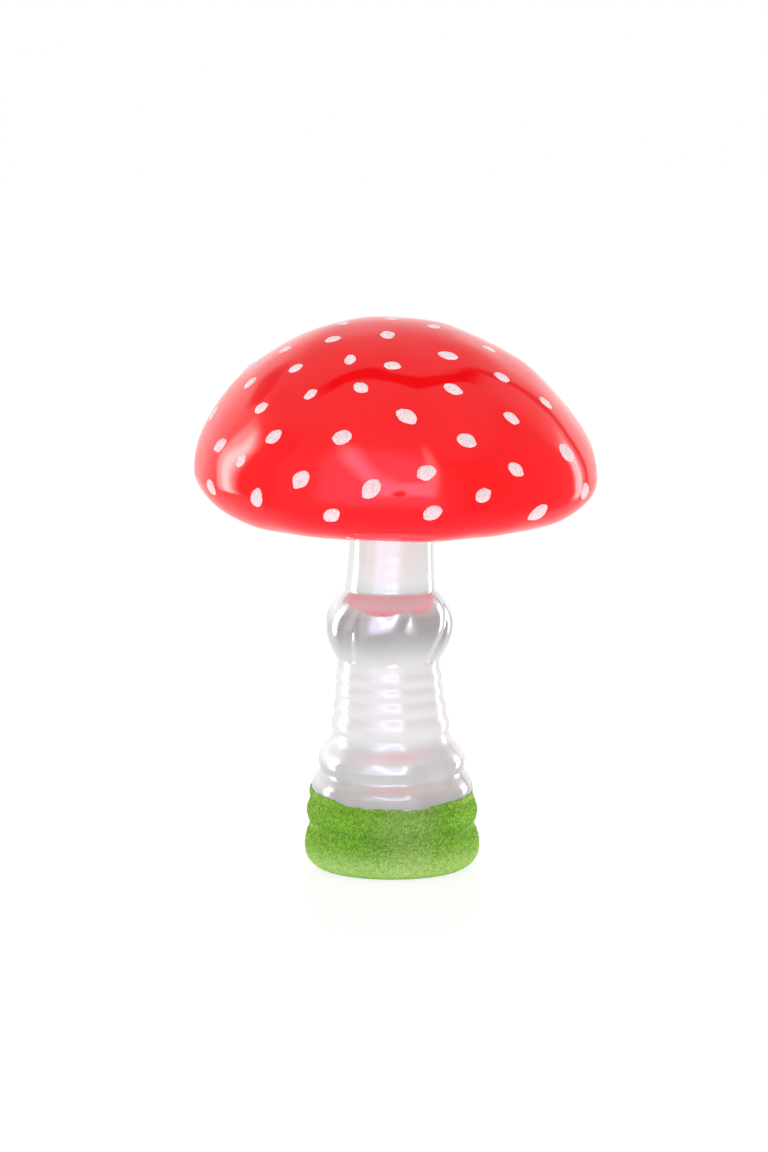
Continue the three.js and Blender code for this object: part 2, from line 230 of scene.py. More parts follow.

# Floor: what the camera sees, what matte surfaces get from it, and the near part that glossy ones see in
# grey, as a painted shadow
WHITE = (1, 1, 1, 1)
FLOOR_SIZE = 8
FLOOR_GLOW = 0.86
FLOOR_SHADE = (0.2, 0.2, 0.2, 1)
FLOOR_GLOSS = 0.05
FLOOR_BLUR = 0.12
PAPER_WHITE = (0.9, 0.9, 0.9, 1)
TABLE_LIGHT = 0.7
TABLE_LIGHT_REACH = 0.08
NEAR_SHADOW_LIGHT = 0.52
NEAR_AHEAD = 0.12
NEAR_REACH = (0.12, 0.32)

# Studio, as glossy surfaces mirror it: levels of light, and limits in degrees. Turn goes from the front to
# the right, rise goes up from level, and tilt goes from straight up to the back. A third number is softness.
MATTE_LIGHT = 0.94
ROOM_LIGHT = 0.66
WINDOW_LIGHT = 0.85
WINDOW_TINT = (1.0, 0.92, 1.3)
WINDOW_LEFT = (-54, -32)
WINDOW_RIGHT = (14, 30)
WINDOW_FOOT = (-20, 2)
WINDOW_HEAD = (41, 55)
GLINT_LIGHT = 2.6  # of the window's frame: two leaning arms and a sill
LEFT_ARM = ((4, 16, 6), (10, 50, 5))
LEFT_ARM_LEAN = 0.8
RIGHT_ARM = ((10, 18, 3), (8, 52, 5))
RIGHT_ARM_LEAN = 0.27
SILL = ((-8, 21, 4), (5, 20, 4))
PAPER_TILT = (9, 16)
PAPER_LIGHT = 0.6
PAPER_GLOW = 0.5  # added towards its foot
PAPER_GLOW_END = (10, 48)
PAPER_FOOT_SHADE = 0.25
PAPER_FOOT = (-6, 2)
LEFT_GLOW = 0.3  # added on its left
LEFT_GLOW_SIDE = (-0.3, -0.1)  # of the direction's part to the right
LEFT_GLOW_START = (2, 14)
LEFT_GLOW_END = (26, 46)
DIM_LIGHT = 0.42
DIM_SIDES = ((35, 122, 8), (-103, -72, 6))
DIM_RISE = (-42, 48, 6)
DEEP_LIGHT = 0.9
DEEP_RISE = (-62, -42)
GAP_TILT = (7.3, 16.2, 1.5)
GAP_SPAN = (-0.45, 0.45, 0.07)  # of the direction's part to the right
GAP_BEND = 18  # degrees, by which its right end lies further back
GAP_BEND_SPAN = (0.2, 0.45)  # of the direction's part to the right
GAP_SHADE = 0.98
CAMERA_SPOT = (0.5, 8, 3, 4.2)  # turn, rise and reach in each
CAMERA_SHADE = 0.85
LEFT_SPOT = (-138, 34, 14, 8)
LEFT_SPOT_SHADE = 0.7
SPOT_EDGE = (0.6, 1.2)
PAPER_EDGE = ((139, 144, 2), (-20, 60, 8))
PAPER_EDGE_SHADE = 0.75
LEFT_LAMP_LIGHT = 5.5
LEFT_LAMP = (-118, -101, 3)
LEFT_LAMP_SHARE = 0.6
LEFT_LAMP_CORE = (-112, -105, 3)
LEFT_LAMP_FOOT = (-22, -10)
LEFT_LAMP_HEAD = (23, 36)
RIGHT_LAMP_LIGHT = 3.7
RIGHT_LAMP = ((122, 134, 3), (-14, 21, 5))

# Camera
EYE_DISTANCE = 1.8
EYE_ELEVATION = 8.0  # degrees
AIM = Vector((-0.0029, 0, 0.106))
LENS = 156.9

# Heights and radii that follow
FOOT_BOTTOM = COAT_THICKNESS + FIT_GAP
FOOT_TOP = FOOT_BOTTOM + FOOT_ROUND
WIDEST_LEVEL = CAP_LIFT + RIM_DEPTH
MOUTH_LEVEL = CAP_LIFT + UNDERSIDE_RISE
COLLAR_TOP = MOUTH_LEVEL + COLLAR_LENGTH
JOINT_BOTTOM = MOUTH_LEVEL - GLUE_BEAD - FIT_GAP
COLLAR_BORE = NECK_RADIUS + 2 * FIT_GAP + GLUE_THICKNESS
MOUTH_CENTRE = COLLAR_BORE + MOUTH_ROUND
SHOULDER_CENTRE = CAP_RADIUS - SHOULDER_RADIUS
RIM_CENTRE = CAP_RADIUS - RIM_REACH
DOME_RADIUS = SHOULDER_RADIUS + SHOULDER_CENTRE / math.cos(math.radians(SHOULDER_ANGLE))
DOME_CENTRE = WIDEST_LEVEL - SHOULDER_CENTRE * math.tan(math.radians(SHOULDER_ANGLE))
DOME_TOP = DOME_CENTRE + DOME_RADIUS
CREASE_LEVEL = FOOT_TOP + LOWER_RINGS[0][0] * MM
SKIRT_BOTTOM = FOOT_TOP + sum(ring[0] for ring in LOWER_RINGS) * MM
SKIRT_HEIGHT = SKIRT[0] * MM


class Wire:
    """A socket of a node tree. Arithmetic on it adds Math nodes."""

    def __init__(self, tree, socket=None):
        self.tree = tree
        self.socket = socket

    def node(self, kind, settings, inputs, output=0):
        made = self.tree.nodes.new(kind)
        for name, value in settings.items():
            if name == "stops":
                self.set_stops(made.color_ramp, value)
            else:
                setattr(made, name, value)
        for key, value in inputs.items():
            if isinstance(value, Wire):
                self.tree.links.new(value.socket, made.inputs[key])
            else:
                made.inputs[key].default_value = value
        return Wire(self.tree, made.outputs[output])

    @staticmethod
    def set_stops(ramp, stops):
        for place, _ in stops[2:]:
            ramp.elements.new(place)
        for element, (place, colour) in zip(ramp.elements, stops):
            element.position = place
            element.color = (*colour, 1)

    def math(self, operation, first, second=0.0):
        return self.node("ShaderNodeMath", {"operation": operation}, {0: first, 1: second})

    def __add__(self, other):
        return self.math("ADD", self, other)

    def __sub__(self, other):
        return self.math("SUBTRACT", self, other)

    def __rsub__(self, other):
        return self.math("SUBTRACT", other, self)

    def __mul__(self, other):
        return self.math("MULTIPLY", self, other)

    def __truediv__(self, other):
        return self.math("DIVIDE", self, other)

    __radd__ = __add__
    __rmul__ = __mul__

    def rising(self, low, high):
        """0 below low, 1 above high, eased between them."""
        limits = {"Value": self, "From Min": low, "From Max": high}
        return self.node("ShaderNodeMapRange", {"interpolation_type": "SMOOTHSTEP"}, limits)

    def falling(self, low, high):
        """1 below low, 0 above high, eased between them."""
        return 1 - self.rising(low, high)

    def between(self, first, second):
        """A colour between two, as this value goes from 0 to 1. 6 and 7 are the Mix node's colour sockets."""
        colours = {6: (*first, 1) if isinstance(first, tuple) else first,
                   7: (*second, 1) if isinstance(second, tuple) else second}
        return self.node("ShaderNodeMix", {"data_type": "RGBA"}, {0: self, **colours}, output=2)


def deselect():
    bpy.ops.object.select_all(action="DESELECT")


def arc(centre, radius, start, end, step, upright=None):
    """Points of an arc, in degrees from outwards towards up, about one step apart."""
    count = max(2, round(abs(math.radians(end - start)) * radius / step))
    angles = np.radians(np.linspace(start, end, count + 1))
    return [(centre[0] + radius * math.cos(a), centre[1] + (upright or radius) * math.sin(a)) for a in angles]


def turned(name, outline, columns):
    """Draws an outline of radii and levels point by point, and spins it round the upright axis."""
    deselect()
    first = outline[0]
    bpy.ops.mesh.primitive_plane_add(size=GLASS_WALL, location=(first[0], 0, first[1]))
    piece = bpy.context.object
    piece.name = piece.data.name = name
    bpy.ops.object.transform_apply(location=True, rotation=True, scale=True)
    bpy.ops.object.mode_set(mode="EDIT")
    bpy.ops.mesh.select_all(action="SELECT")
    bpy.ops.mesh.merge(type="CENTER")
    for before, after in zip(outline, outline[1:]):
        move = (after[0] - before[0], 0, after[1] - before[1])
        bpy.ops.mesh.extrude_region_move(TRANSFORM_OT_translate={"value": move})
    bpy.ops.mesh.select_all(action="SELECT")
    bpy.ops.mesh.spin(steps=columns, angle=2 * math.pi, center=(0, 0, 0), axis=(0, 0, 1))
    bpy.ops.mesh.select_all(action="SELECT")
    bpy.ops.mesh.remove_doubles(threshold=WELD)
    bpy.ops.mesh.normals_make_consistent(inside=False)
    bpy.ops.object.mode_set(mode="OBJECT")
    return piece


def places_of(piece):
    places = np.empty(3 * len(piece.data.vertices), np.float32)
    piece.data.vertices.foreach_get("co", places)
    return places.reshape(-1, 3).astype(float)


def put_places(piece, places):
    piece.data.vertices.foreach_set("co", places.astype(np.float32).ravel())
    piece.data.update()


def wear(piece, kind, settings):
    """Adds a modifier and applies it."""
    deselect()
    piece.select_set(True)
    bpy.context.view_layer.objects.active = piece
    modifier = piece.modifiers.new(kind.lower(), kind)
    for name, value in settings.items():
        setattr(modifier, name, value)
    bpy.ops.object.modifier_apply(modifier=modifier.name)


def make_lumpy(piece, lumps):
    for size, depth in lumps:
        texture = bpy.data.textures.new(piece.name + "_lumps", "CLOUDS")
        texture.noise_scale = size
        texture.noise_depth = 0
        settings = {"texture": texture, "texture_coords": "LOCAL", "strength": depth, "mid_level": LUMP_LEVEL}
        wear(piece, "DISPLACE", settings)


def belongs(piece, slot, material, *nodes):
    """Dresses a finished piece and ties it to the frame."""
    piece.data.materials.clear()
    piece.data.materials.append(material)
    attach(piece, "root")
    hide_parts(*nodes)


# Cap


def cap_outline():
    mouth = (MOUTH_CENTRE, MOUTH_LEVEL + MOUTH_ROUND)
    count = round((RIM_CENTRE - MOUTH_CENTRE) / CAP_STEP)
    shares = np.arange(1, count) / count
    radii = RIM_CENTRE + (MOUTH_CENTRE - RIM_CENTRE) * shares
    levels = CAP_LIFT + UNDERSIDE_RISE * (1 - np.cos(np.pi * shares)) / 2
    return [
        *arc((0, DOME_CENTRE), DOME_RADIUS, 90, SHOULDER_ANGLE, CAP_STEP),
        *arc((SHOULDER_CENTRE, WIDEST_LEVEL), SHOULDER_RADIUS, SHOULDER_ANGLE, 0, CAP_STEP)[1:],
        *arc((RIM_CENTRE, WIDEST_LEVEL), RIM_REACH, 0, -90, CAP_STEP, RIM_DEPTH)[1:],
        *zip(radii, levels),
        *arc(mouth, MOUTH_ROUND, -90, -180, MOUTH_ROUND / 3),
        (COLLAR_BORE, COLLAR_TOP),
    ]


def eased(values, low, high):
    share = np.clip((values - low) / (high - low), 0, 1)
    return share * share * (3 - 2 * share)


def cap_stray(places):
    """How the cap strays from a true round; the collar stays true."""
    x, y, z = places.T
    radius = np.hypot(x, y)
    height = z - WIDEST_LEVEL
    collar = (radius <= MOUTH_CENTRE) & (z <= COLLAR_TOP + FIT_GAP)
    reach = np.where(height > 0, 1, eased(radius, MOUTH_CENTRE, RIM_CENTRE))
    above = np.maximum(height, 0)
    sink = np.clip(-height / RIM_DEPTH, 0, 1)
    corner = np.where(radius > RIM_CENTRE, 2 * sink * np.sqrt(1 - sink * sink), 0)
    across = BUBBLE_SHIFT * reach + CORNER_SHIFT * corner + DOME_DRIFT * above**2 / (above + DRIFT_START)
    strays = np.stack([across, np.zeros_like(across), BUBBLE_NOD * reach * y], axis=1)
    return places + np.where(collar[:, None], 0, strays)


def make_cap(material):
    cap = turned("red_cap", cap_outline(), CAP_COLUMNS)
    put_places(cap, cap_stray(places_of(cap)))
    make_lumpy(cap, CAP_LUMPS)
    wear(cap, "SOLIDIFY", {"thickness": GLASS_WALL, "offset": -1})
    bpy.ops.object.shade_smooth()
    belongs(cap, "red_lacquer", material, "cap_shell")
    return cap


# Stem


def stem_profile():
    """Levels, from the foot's round up to the neck's end, and the outside radius at each."""
    corners = [FOOT_TOP]
    radii_at = [FOOT_FLAT_RADIUS + FOOT_ROUND]
    neck = sum(ring[0] for ring in (*LOWER_RINGS, SKIRT, *NECK_RINGS))
    joint = ((JOINT_BOTTOM - FOOT_TOP) / MM - neck, NECK_RADIUS / MM, 0, 1, 1)
    end = ((COLLAR_TOP - JOINT_BOTTOM) / MM, NECK_RADIUS / MM, 0, 1, 1)
    levels = np.arange(FOOT_TOP, COLLAR_TOP + PROFILE_STEP / 2, PROFILE_STEP)
    radii = np.full_like(levels, NECK_RADIUS)
    for height, radius, swell, fullness, lift in (*LOWER_RINGS, SKIRT, *NECK_RINGS, joint, end):
        share = (levels - corners[-1]) / (height * MM)
        inside = (share >= 0) & (share <= 1)
        line = radii_at[-1] + (radius * MM - radii_at[-1]) * share
        bulge = swell * MM * np.sin(np.pi * np.clip(share, 0, 1) ** lift) ** fullness
        radii[inside] = (line + bulge)[inside]
        corners.append(corners[-1] + height * MM)
        radii_at.append(radius * MM)
    reach = round(CREASE_SOFTNESS / PROFILE_STEP)
    padded = np.pad(radii, reach, mode="edge")
    soft = np.mean([padded[i : i + len(radii)] for i in range(2 * reach + 1)], axis=0)
    return levels, soft


STEM_LEVELS, STEM_RADII = stem_profile()


def stem_outline():
    levels = np.arange(COLLAR_TOP, FOOT_TOP, -STEM_STEP)
    return [
        *zip(np.interp(levels, STEM_LEVELS, STEM_RADII), levels),
        *arc((FOOT_FLAT_RADIUS, FOOT_TOP), FOOT_ROUND, 0, -90, 2 * STEM_STEP),
        (PUNT_RADIUS + PUNT_DEPTH, FOOT_BOTTOM),
        (PUNT_RADIUS, FOOT_BOTTOM + PUNT_DEPTH),
        (BLOW_HOLE_RADIUS, FOOT_BOTTOM + PUNT_DEPTH),
    ]


def flute(places):
    """Draws in the folds between the skirt's lobes."""
    x, y, z = places.T
    share = np.clip((z - SKIRT_BOTTOM) / SKIRT_HEIGHT, 0, 1)
    angle = np.arctan2(x, -y)
    angle -= np.radians(FLUTE_TURN + FLUTE_TWIST * share)
    fold = 1 - np.abs(np.sin(FLUTES / 2 * angle)) ** FLUTE_FULLNESS
    depth = 2 * FLUTE_DEPTH * fold * np.sin(np.pi * share) ** FLUTE_START * (1 - share)
    scale = 1 - depth / np.maximum(np.hypot(x, y), MM)
    return np.stack([x * scale, y * scale, z], axis=1)


def stem_stray(places):
    """Sways the stem to the left between its ends, and lets the big ring hang lower at the front."""
    start = COAT_EDGE + EDGE_WAVE + EDGE_SLANT
    share = np.clip((places[:, 2] - start) / (JOINT_BOTTOM - start), 0, 1)
    moved = places.copy()
    moved[:, 0] += STEM_SWAY * np.sin(np.pi * share) ** 2
    nod = RING_NOD * eased(places[:, 2], *NOD_START) * (1 - eased(places[:, 2], *NOD_END))
    moved[:, 2] += nod * places[:, 1]
    return moved


def make_stem(material):
    stem = turned("silver_stem", stem_outline(), STEM_COLUMNS)
    put_places(stem, stem_stray(flute(places_of(stem))))
    make_lumpy(stem, STEM_LUMPS)
    wear(stem, "SOLIDIFY", {"thickness": GLASS_WALL, "offset": -1})
    bpy.ops.object.shade_smooth()
    belongs(stem, "silvered_glass", material, "stem_shell")


# Glitter coat


def coat_edge(angle):
    """Level of the coat's upper edge, at an angle from the front."""
    dip = FRONT_DIP * np.maximum(np.cos(angle), 0)
    wave = EDGE_WAVE * np.cos(EDGE_WAVES * (angle + math.radians(EDGE_WAVE_TURN)))
    degrees = np.degrees(angle)
    step = NOTCH_STEP * (eased(-degrees, -NOTCH_TURN - NOTCH_REACH, -NOTCH_TURN + NOTCH_REACH) - 0.5)
    step *= 1 - eased(np.abs(degrees - NOTCH_TURN), *NOTCH_FADE)
    waves = [share * np.sin(count * angle + start) for count, start, share in FRAY_WAVES]
    fray = EDGE_FRAY * sum(waves) / len(waves)
    return COAT_EDGE - dip - EDGE_SLANT * np.sin(angle) + wave + step + fray


def coat_face(distance, step):
    """One face of the coat, from its middle underneath up to a level edge."""
    levels = np.linspace(FOOT_TOP, COAT_EDGE, max(3, round((COAT_EDGE - FOOT_TOP) / step)))
    radii = np.interp(levels, STEM_LEVELS, STEM_RADII) + distance
    return [
        (0, FOOT_BOTTOM - distance),
        *arc((FOOT_FLAT_RADIUS, FOOT_TOP), FOOT_ROUND + distance, -90, 0, step),
        *list(zip(radii, levels))[1:],
    ]


def make_coat(material):
    outer = coat_face(FIT_GAP + COAT_THICKNESS, GRAIN_STEP)
    inner = coat_face(FIT_GAP, 10 * GRAIN_STEP)
    coat = turned("green_coat", [*outer, *reversed(inner)], COAT_COLUMNS)
    places = places_of(coat)
    x, y, z = places.T
    radius = np.hypot(x, y)
    angle = np.arctan2(x, -y)
    rise = (coat_edge(angle) - CREASE_LEVEL) / (COAT_EDGE - CREASE_LEVEL)
    level = np.where(z > CREASE_LEVEL, CREASE_LEVEL + (z - CREASE_LEVEL) * rise, z)
    distance = radius - np.interp(z, STEM_LEVELS, STEM_RADII)
    tucked = distance * (1 - TUCK_SHARE * eased(level - coat_edge(angle), -EDGE_TUCK, 0))
    wider = np.where(z > CREASE_LEVEL, np.interp(level, STEM_LEVELS, STEM_RADII) + tucked, radius)
    put_places(coat, np.stack([wider * np.sin(angle), -wider * np.cos(angle), level], axis=1))
    roughen(coat, places, distance)
    belongs(coat, "green_glitter", material, "moss_coat")


def roughen(coat, places, distance):
    """Shakes the vertices of the outer face, and draws them in so that the grains stay within the solid."""
    outer = (distance > FIT_GAP + COAT_THICKNESS / 2) | (places[:, 2] < FOOT_TOP)
    outer &= places[:, 2] > GRAIN_HEIGHT
    outer &= np.hypot(places[:, 0], places[:, 1]) > FOOT_FLAT_RADIUS
    rng = np.random.default_rng(GRAIN_SEED)
    normals = np.empty(3 * len(coat.data.vertices), np.float32)
    coat.data.vertices.foreach_get("normal", normals)
    normals = normals.reshape(-1, 3)
    shake = rng.normal(0, GRAIN_HEIGHT / 4, normals.shape)
    heights = rng.random(len(normals)) * -GRAIN_HEIGHT
    moved = places_of(coat)
    moved[outer] += (normals * heights[:, None] + shake)[outer]
    moved[:, 2] = np.maximum(moved[:, 2], 0)
    put_places(coat, moved)


# Dots


def dab_dome():
    """One dab of unit size, a low dome cut flat below."""
    deselect()
    bpy.ops.mesh.primitive_uv_sphere_add(segments=DAB_COLUMNS, ring_count=DAB_RINGS, radius=1)
    dome = bpy.context.object
    bpy.ops.object.mode_set(mode="EDIT")
    bpy.ops.mesh.select_all(action="SELECT")
    bpy.ops.mesh.bisect(plane_co=(0, 0, DAB_FOOT), plane_no=(0, 0, 1), clear_inner=True, use_fill=True)
    bpy.ops.object.mode_set(mode="OBJECT")
    return dome


def cad_dabs():
    """Middle, long direction, length and width of each dot in the frame."""
    found = []
    for name in sorted(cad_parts):
        if not name.startswith("dot_"):
            continue
        places = places_of(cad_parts[name])
        middle = (places.min(0) + places.max(0)) / 2
        ways = np.linalg.svd(places - places.mean(0), full_matrices=False)[2]
        along = (places - middle) @ ways[0]
        across = (places - middle) @ ways[1]
        found.append((Vector(middle), Vector(ways[0]), np.ptp(along), np.ptp(across)))
    return found


def extra_dabs(dabs, cap_tree):
    """More dots for the back, kept clear of the others."""
    rng = np.random.default_rng(EXTRA_SEED)
    middles = [dab[0] for dab in dabs]
    found = []
    while len(found) < EXTRA_DOTS:
        turn = rng.uniform(*EXTRA_TURNS) * math.pi
        lift = rng.uniform(*EXTRA_LIFTS)
        way = Vector((math.sin(turn) * math.cos(lift), -math.cos(turn) * math.cos(lift), math.sin(lift)))
        place = cap_tree.ray_cast(Vector((0, 0, WIDEST_LEVEL)) + 3 * CAP_RADIUS * way, -way)[0]
        length = rng.uniform(*EXTRA_LENGTHS)
        lean = rng.uniform(0, math.pi)
        if place is None or abs(place.z - WIDEST_LEVEL) < EXTRA_CLEAR:
            continue
        if min((place - other).length for other in middles) < EXTRA_SPACING:
            continue
        along = Vector((math.cos(turn) * math.cos(lean), math.sin(turn) * math.cos(lean), math.sin(lean)))
        middles.append(place)
        found.append((place, along, length, DAB_WIDTH_SHARE * length))
    return found


def lay_dab(dome, index, dab, cap_tree):
    """A copy of the dome, with its own ragged edge, laid on the cap."""
    middle, along, length, width = dab
    foot, normal, _, _ = cap_tree.find_nearest(middle)
    along = (along - along.dot(normal) * normal).normalized()
    across = normal.cross(along)
    copy = dome.copy()
    copy.data = dome.data.copy()
    bpy.context.collection.objects.link(copy)
    for vertex in copy.data.vertices:
        u, v, height = vertex.co
        turn = math.atan2(v, u)
        around = Vector((math.cos(turn), math.sin(turn), 0))
        edge = 1
        for depth, dents, step in DAB_EDGE:
            edge += depth * noise.noise(dents * around + Vector((0, 0, step * index)))
        narrow = 1 - DAB_POINT * math.cos(turn) ** 2
        aim = foot + along * (u * edge * length / 2) + across * (v * edge * narrow * width / 2)
        seat, upwards, _, _ = cap_tree.find_nearest(aim)
        vertex.co = seat + upwards * (height * DAB_HEIGHT)
    return copy


def make_dots(cap, material):
    cap_tree = BVHTree.FromObject(cap, bpy.context.evaluated_depsgraph_get())
    dabs = cad_dabs()
    nodes = [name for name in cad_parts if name.startswith("dot_")]
    dabs += extra_dabs(dabs, cap_tree)
    dome = dab_dome()
    copies = [lay_dab(dome, index, dab, cap_tree) for index, dab in enumerate(dabs)]
    bpy.data.objects.remove(dome)
    deselect()
    for copy in copies:
        copy.select_set(True)
    bpy.context.view_layer.objects.active = copies[0]
    bpy.ops.object.join()
    dots = bpy.context.object
    dots.name = dots.data.name = "white_dots"
    bpy.ops.object.shade_smooth_by_angle(angle=math.radians(DAB_SMOOTH_ANGLE))
    belongs(dots, "white_glitter", material, *nodes)


# Finishes


def finish(name):
    """A new material, its shader and a wire to hang nodes on."""
    material = bpy.data.materials.new(name)
    material.use_nodes = True
    return material, material.node_tree.nodes["Principled BSDF"], Wire(material.node_tree)


def connect(shader, **inputs):
    for name, wire in inputs.items():
        shader.id_data.links.new(wire.socket, shader.inputs[name.replace("_", " ").title()])


def pattern(sheet, scale):
    """Soft noise over the piece's own coordinates, with features about one over scale across."""
    where = sheet.node("ShaderNodeTexCoord", {}, {}, output="Object")
    return sheet.node("ShaderNodeTexNoise", {}, {"Vector": where, "Scale": scale, "Detail": NOISE_DETAIL})


def cells(sheet, scale, output="Color"):
    """Grains over the piece's own coordinates, each with its own shade."""
    where = sheet.node("ShaderNodeTexCoord", {}, {}, output="Object")
    return sheet.node("ShaderNodeTexVoronoi", {}, {"Vector": where, "Scale": scale}, output=output)


def coordinate(sheet, axis):
    """One of the piece's own coordinates."""
    where = sheet.node("ShaderNodeTexCoord", {}, {}, output="Object")
    return sheet.node("ShaderNodeSeparateXYZ", {}, {0: where}, output=axis)


def within(value, low, high, soft):
    """1 between two limits, fading out over a soft edge at each."""
    return value.rising(low - soft, low + soft) * value.falling(high - soft, high + soft)


def red_lacquer():
    """Red, a little pinker towards the rim as a painted reflection tint, under a clear gloss."""
    material, shader, sheet = finish("red_lacquer")
    shader.inputs["IOR"].default_value = LACQUER_IOR
    cloud = pattern(sheet, 35)
    flakes = pattern(sheet, 2500)
    red = (cloud * 0.7 + flakes * 0.3).rising(0.3, 0.7).between(*REDS)
    # Below the widest line the red turns pinker: a painted reflection tint, not the lacquer's own colour.
    colour = coordinate(sheet, "Z").rising(CAP_LIFT, WIDEST_LEVEL).between(RIM_REFLECTION_RED, red)
    connect(shader, base_color=colour, roughness=0.03 + pattern(sheet, 60) * 0.03)
    return material


def up_the_stem(sheet, stops):
    """A shade or colour that changes with height, from stops at heights in millimetres."""
    share = coordinate(sheet, "Z") / COLLAR_TOP
    ramp = []
    for level, shade in stops:
        colour = shade if isinstance(shade, tuple) else 3 * (shade,)
        ramp.append((level * MM / COLLAR_TOP, colour))
    return sheet.node("ShaderNodeValToRGB", {"stops": ramp}, {0: share})


def silvered_glass():
    """Glass silvered thinly on the rings and fully on the skirt, with a few pinholes, and painted shade in
    its colour.
    """
    material, shader, sheet = finish("silvered_glass")
    shader.inputs["Coat Roughness"].default_value = 0.05
    # Painted shade: the colour is darker by the coat, in the crease and on the skirt, and less red near the
    # cap.
    silver_and_shade = up_the_stem(sheet, SILVER_AND_PAINTED_SHADE)
    mottled = (pattern(sheet, 60).rising(0.35, 0.65) * 0.15).between(silver_and_shade, MOTTLED_SILVER)
    pinholes = cells(sheet, PINHOLES, "Distance").falling(0.03, 0.05)
    chosen = cells(sheet, PINHOLES).rising(0.6, 0.61)
    colour = (pinholes * chosen).between(mottled, PINHOLE_GREY)
    metal = up_the_stem(sheet, METAL) + pattern(sheet, 25) * 0.06
    rings = within(coordinate(sheet, "Z"), *THIN_RINGS)
    blurred = 0.1 + within(coordinate(sheet, "Z"), *SMOOTH_RING) * 0.18 + rings * 0.12
    roughness = blurred + pattern(sheet, 90) * 0.08
    connect(shader, base_color=colour, metallic=metal, roughness=roughness, coat_weight=1 - rings * 0.4)
    return material


def green_glitter():
    """Grains of many greens, with painted shade in the groove, a greyer patch on the front, and painted light
    making them paler towards the table.
    """
    material, shader, sheet = finish("green_glitter")
    grain = cells(sheet, GREEN_GRAINS)
    up = coordinate(sheet, "Z")
    groove_shade = within(up, CREASE_LEVEL - GROOVE_HALF, CREASE_LEVEL + GROOVE_HALF, GROOVE_SOFT)
    level = 0.07 + grain * 0.62 + pattern(sheet, 65) * 0.24
    # Painted shade: the grains are darker in the groove above the foot.
    level = level - groove_shade * pattern(sheet, 90).rising(0.3, 0.6) * 0.15
    speckled = level.node("ShaderNodeValToRGB", {"stops": GREENS}, {0: level})
    # A greyer, duller patch of grains on the front of the coat.
    front_patch = pattern(sheet, 50).rising(0.25, 0.6) * within(coordinate(sheet, "X"), *FRONT_PATCH_SPAN) * 0.6
    front_patch = front_patch * coordinate(sheet, "Y").falling(*FRONT_PATCH_END)
    patched = front_patch.between(speckled, grain.between(*FRONT_PATCH_GREENS))
    # Painted light: the greens are paler towards the foot, where the table lights the coat.
    table_lit = up.falling(0, CREASE_LEVEL - TABLE_LIT_END)
    colour = (table_lit * 0.75).between(patched, grain.between(*TABLE_LIT_GREENS))
    shader.inputs["Specular IOR Level"].default_value = 0.2
    shader.inputs["Sheen Weight"].default_value = 0.8
    shader.inputs["Sheen Tint"].default_value = GREEN_SHEEN
    connect(shader, base_color=colour, roughness=0.75 - grain.rising(0.7, 0.9) * 0.45)
    return material


def white_glitter():
    """Pinkish white grains, painted darker on the lower dots as shade, since the table lights them too."""
    material, shader, sheet = finish("white_glitter")
    grain = cells(sheet, WHITE_GRAINS)
    light = grain.rising(0.1, 0.55)
    low = light.between(*LOW_SHADED_WHITES)
    high = light.between(*HIGH_WHITES)
    # Painted shade: the lower dots are darker, to offset the light that the table throws on them.
    colour = coordinate(sheet, "Z").rising(CAP_LIFT, DOME_TOP).between(low, high)
    bump = sheet.node("ShaderNodeBump", {}, {"Strength": 0.4, "Distance": GRAIN_BUMP, "Height": grain})
    shader.inputs["Specular IOR Level"].default_value = 0.2
    connect(shader, base_color=colour, roughness=0.6 - grain.rising(0.75, 0.95) * 0.3, normal=bump)
    return material


def clear_glue():
    material, shader, sheet = finish("clear_glue")
    colour = pattern(sheet, 300).between(*GLUE_COLOURS)
    connect(shader, base_color=colour, roughness=0.25 + pattern(sheet, 500) * 0.2)
    return material


def cork():
    material, shader, sheet = finish("cork")
    pits = pattern(sheet, 900).rising(0.42, 0.6)
    colour = pits.between(*CORK_COLOURS)
    connect(shader, base_color=colour, roughness=0.9 - pits * 0.15)
    return material


# Stage


def glowing(sheet, strength):
    return sheet.node("ShaderNodeEmission", {}, {"Color": WHITE, "Strength": strength})


def mixed(sheet, share, first, second):
    return sheet.node("ShaderNodeMixShader", {}, {0: share, 1: first, 2: second})


def added(sheet, first, second):
    return sheet.node("ShaderNodeAddShader", {}, {0: first, 1: second})


